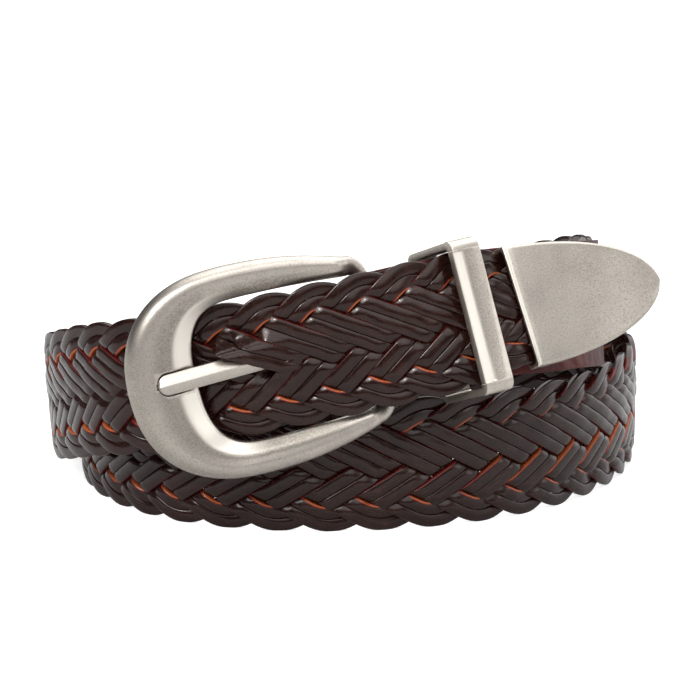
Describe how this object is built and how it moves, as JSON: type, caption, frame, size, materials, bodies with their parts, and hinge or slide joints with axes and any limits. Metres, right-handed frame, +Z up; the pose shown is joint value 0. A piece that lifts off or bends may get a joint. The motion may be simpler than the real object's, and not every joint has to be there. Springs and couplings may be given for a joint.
{
  "type": "braided belt",
  "caption": "Braided leather belt fastened on its horseshoe buckle and standing coiled on its edge, with a pointed metal tip and a keeper loop.",
  "frame": {"origin": "centre of the bounding box at its bottom, where the band's lower edge rests", "axes": "+X along the coil's longest side, to the right as seen from the front; -Y out of the buckle's face; +Z up, across the band's width"},
  "size_m": [0.1436, 0.1344, 0.0666],
  "materials": {
    "braided_leather": "semi-gloss dark brown strips with raw orange-brown cut edges",
    "tab_leather": "smooth satin oxblood leather",
    "antique_nickel": "brushed antique nickel plate with darker hollows"
  },
  "bodies": {
    "root": {"braided_strap": "braided_leather", "buckle_frame": "antique_nickel", "buckle_prong": "antique_nickel", "buckle_tab": "tab_leather", "keeper_loop": "antique_nickel", "strap_tip": "antique_nickel"}
  },
  "joints": []
}
